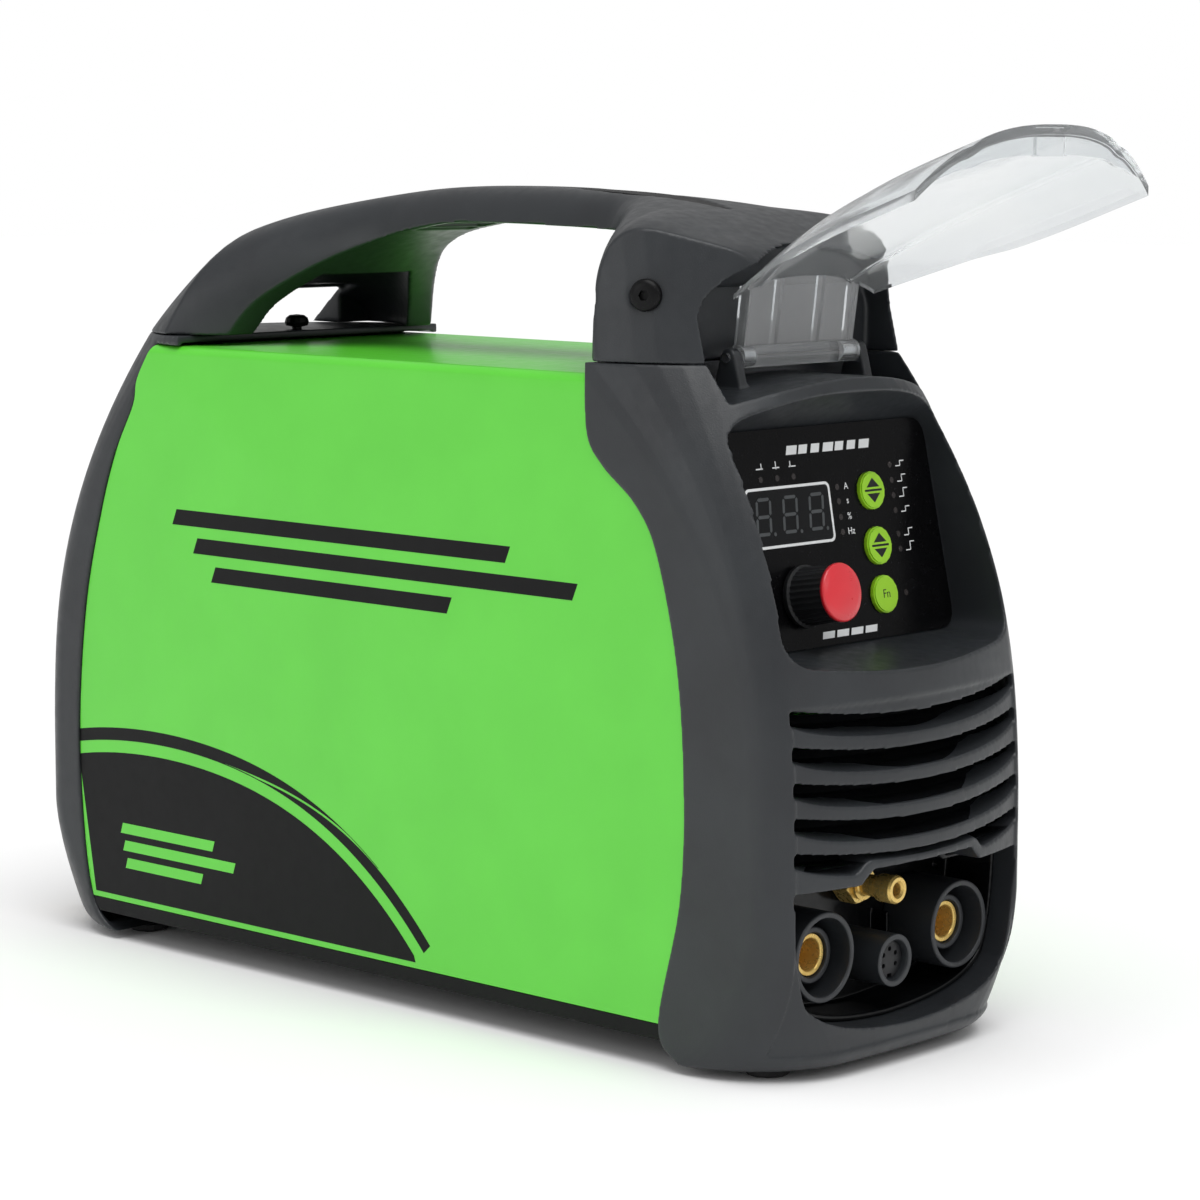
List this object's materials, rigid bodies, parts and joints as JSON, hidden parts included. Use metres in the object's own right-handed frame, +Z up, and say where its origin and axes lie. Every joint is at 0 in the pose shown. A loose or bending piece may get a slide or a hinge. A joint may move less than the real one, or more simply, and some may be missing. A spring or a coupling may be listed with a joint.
{
  "type": "tig welding machine",
  "caption": "Portable inverter TIG welding machine with an arched carrying handle, tilted control panel under a flip-up clear cover, louvred front and recessed welding sockets.",
  "frame": {"origin": "middle of the bounding box's bottom face, on the floor under the machine with its clear cover open", "axes": "+X to the right for someone who faces the control panel, +Y from the control panel to the fan, +Z up"},
  "size_m": [0.162, 0.5384, 0.374],
  "materials": {
    "charcoal_plastic": "fine-grained moulded charcoal plastic",
    "gloss_black_plastic": "smooth near-black plastic and panel film",
    "satin_black_plastic": "satin black plastic",
    "green_paint": "semi-gloss green powder coat on sheet steel",
    "black_paint": "satin black paint",
    "lime_plastic": "lime green button plastic",
    "red_plastic": "gloss red knob cap",
    "clear_plastic": "clear moulded plastic",
    "rubber": "matt black rubber",
    "hose_rubber": "smooth black hose",
    "brass": "turned brass",
    "steel": "plain zinc-plated steel",
    "aluminium": "extruded aluminium",
    "copper": "bare copper",
    "circuit_board": "green solder-resist board",
    "ferrite": "dark sintered ferrite",
    "capacitor_sleeve": "blue shrink sleeve"
  },
  "bodies": {
    "case": {"front_housing": "charcoal_plastic", "rear_housing": "charcoal_plastic", "handle": "charcoal_plastic", "grip_inlay": "rubber", "metal_cover": "green_paint", "base_tray": "black_paint", "strap_stud": "black_paint", "handle_screw_left": "black_paint", "foot_front_left": "rubber", "foot_rear_left": "rubber", "handle_screw_right": "black_paint", "foot_front_right": "rubber", "foot_rear_right": "rubber", "hinge_pin_left": "steel", "hinge_pin_right": "steel", "control_membrane": "gloss_black_plastic", "display_window": "gloss_black_plastic", "display_module": "satin_black_plastic", "control_board": "circuit_board", "encoder_body": "steel", "connector_panel": "gloss_black_plastic", "positive_socket_collar": "charcoal_plastic", "positive_socket_insert": "brass", "positive_busbar": "copper", "negative_socket_collar": "charcoal_plastic", "negative_socket_insert": "brass", "negative_busbar": "copper", "control_socket_shell": "charcoal_plastic", "control_socket_insert": "satin_black_plastic", "gas_outlet_fitting": "brass", "power_switch_frame": "satin_black_plastic", "cable_gland": "satin_black_plastic", "gas_inlet_fitting": "brass", "fan_frame": "satin_black_plastic", "main_board": "circuit_board", "heat_sink_left": "aluminium", "heat_sink_right": "aluminium", "main_transformer": "ferrite", "output_choke": "copper", "rectifier_module": "satin_black_plastic", "hf_coil": "ferrite", "gas_valve": "steel", "gas_hose_inlet": "hose_rubber", "gas_hose_outlet": "hose_rubber", "bulk_capacitor_1": "capacitor_sleeve", "bulk_capacitor_2": "capacitor_sleeve", "bulk_capacitor_3": "capacitor_sleeve"},
    "cover": {"clear_cover": "clear_plastic"},
    "knob": {"encoder_knob": "satin_black_plastic", "knob_cap": "red_plastic", "encoder_shaft": "steel"},
    "upper_button": {"select_button_upper": "lime_plastic"},
    "lower_button": {"select_button_lower": "lime_plastic"},
    "fn_button": {"function_button": "lime_plastic"},
    "rocker": {"power_switch_rocker": "satin_black_plastic"},
    "fan": {"fan_rotor": "satin_black_plastic"}
  },
  "joints": [
    {"name": "cover_hinge", "type": "hinge", "parent": "case", "child": "cover", "pos_m": [0, -0.1382, 0.282], "axis": [1, 0, 0], "range_deg": [0, 92]},
    {"name": "knob_spin", "type": "hinge", "parent": "case", "child": "knob", "pos_m": [-0.0258, -0.16308, 0.18689], "axis": [0, -0.9833, 0.1822], "continuous": true},
    {"name": "upper_button_press", "type": "slide", "parent": "case", "child": "upper_button", "axis": [0, 0.9833, -0.1822], "range_m": [0, 0.0012], "stiffness_N_per_m": 800},
    {"name": "lower_button_press", "type": "slide", "parent": "case", "child": "lower_button", "axis": [0, 0.9833, -0.1822], "range_m": [0, 0.0012], "stiffness_N_per_m": 800},
    {"name": "fn_button_press", "type": "slide", "parent": "case", "child": "fn_button", "axis": [0, 0.9833, -0.1822], "range_m": [0, 0.0012], "stiffness_N_per_m": 800},
    {"name": "rocker_swing", "type": "hinge", "parent": "case", "child": "rocker", "pos_m": [0, 0.23405, 0.20435], "axis": [1, 0, 0], "range_deg": [0, 14]},
    {"name": "fan_spin", "type": "hinge", "parent": "case", "child": "fan", "pos_m": [0, 0.2253, 0.108], "axis": [0, 1, 0], "continuous": true}
  ]
}
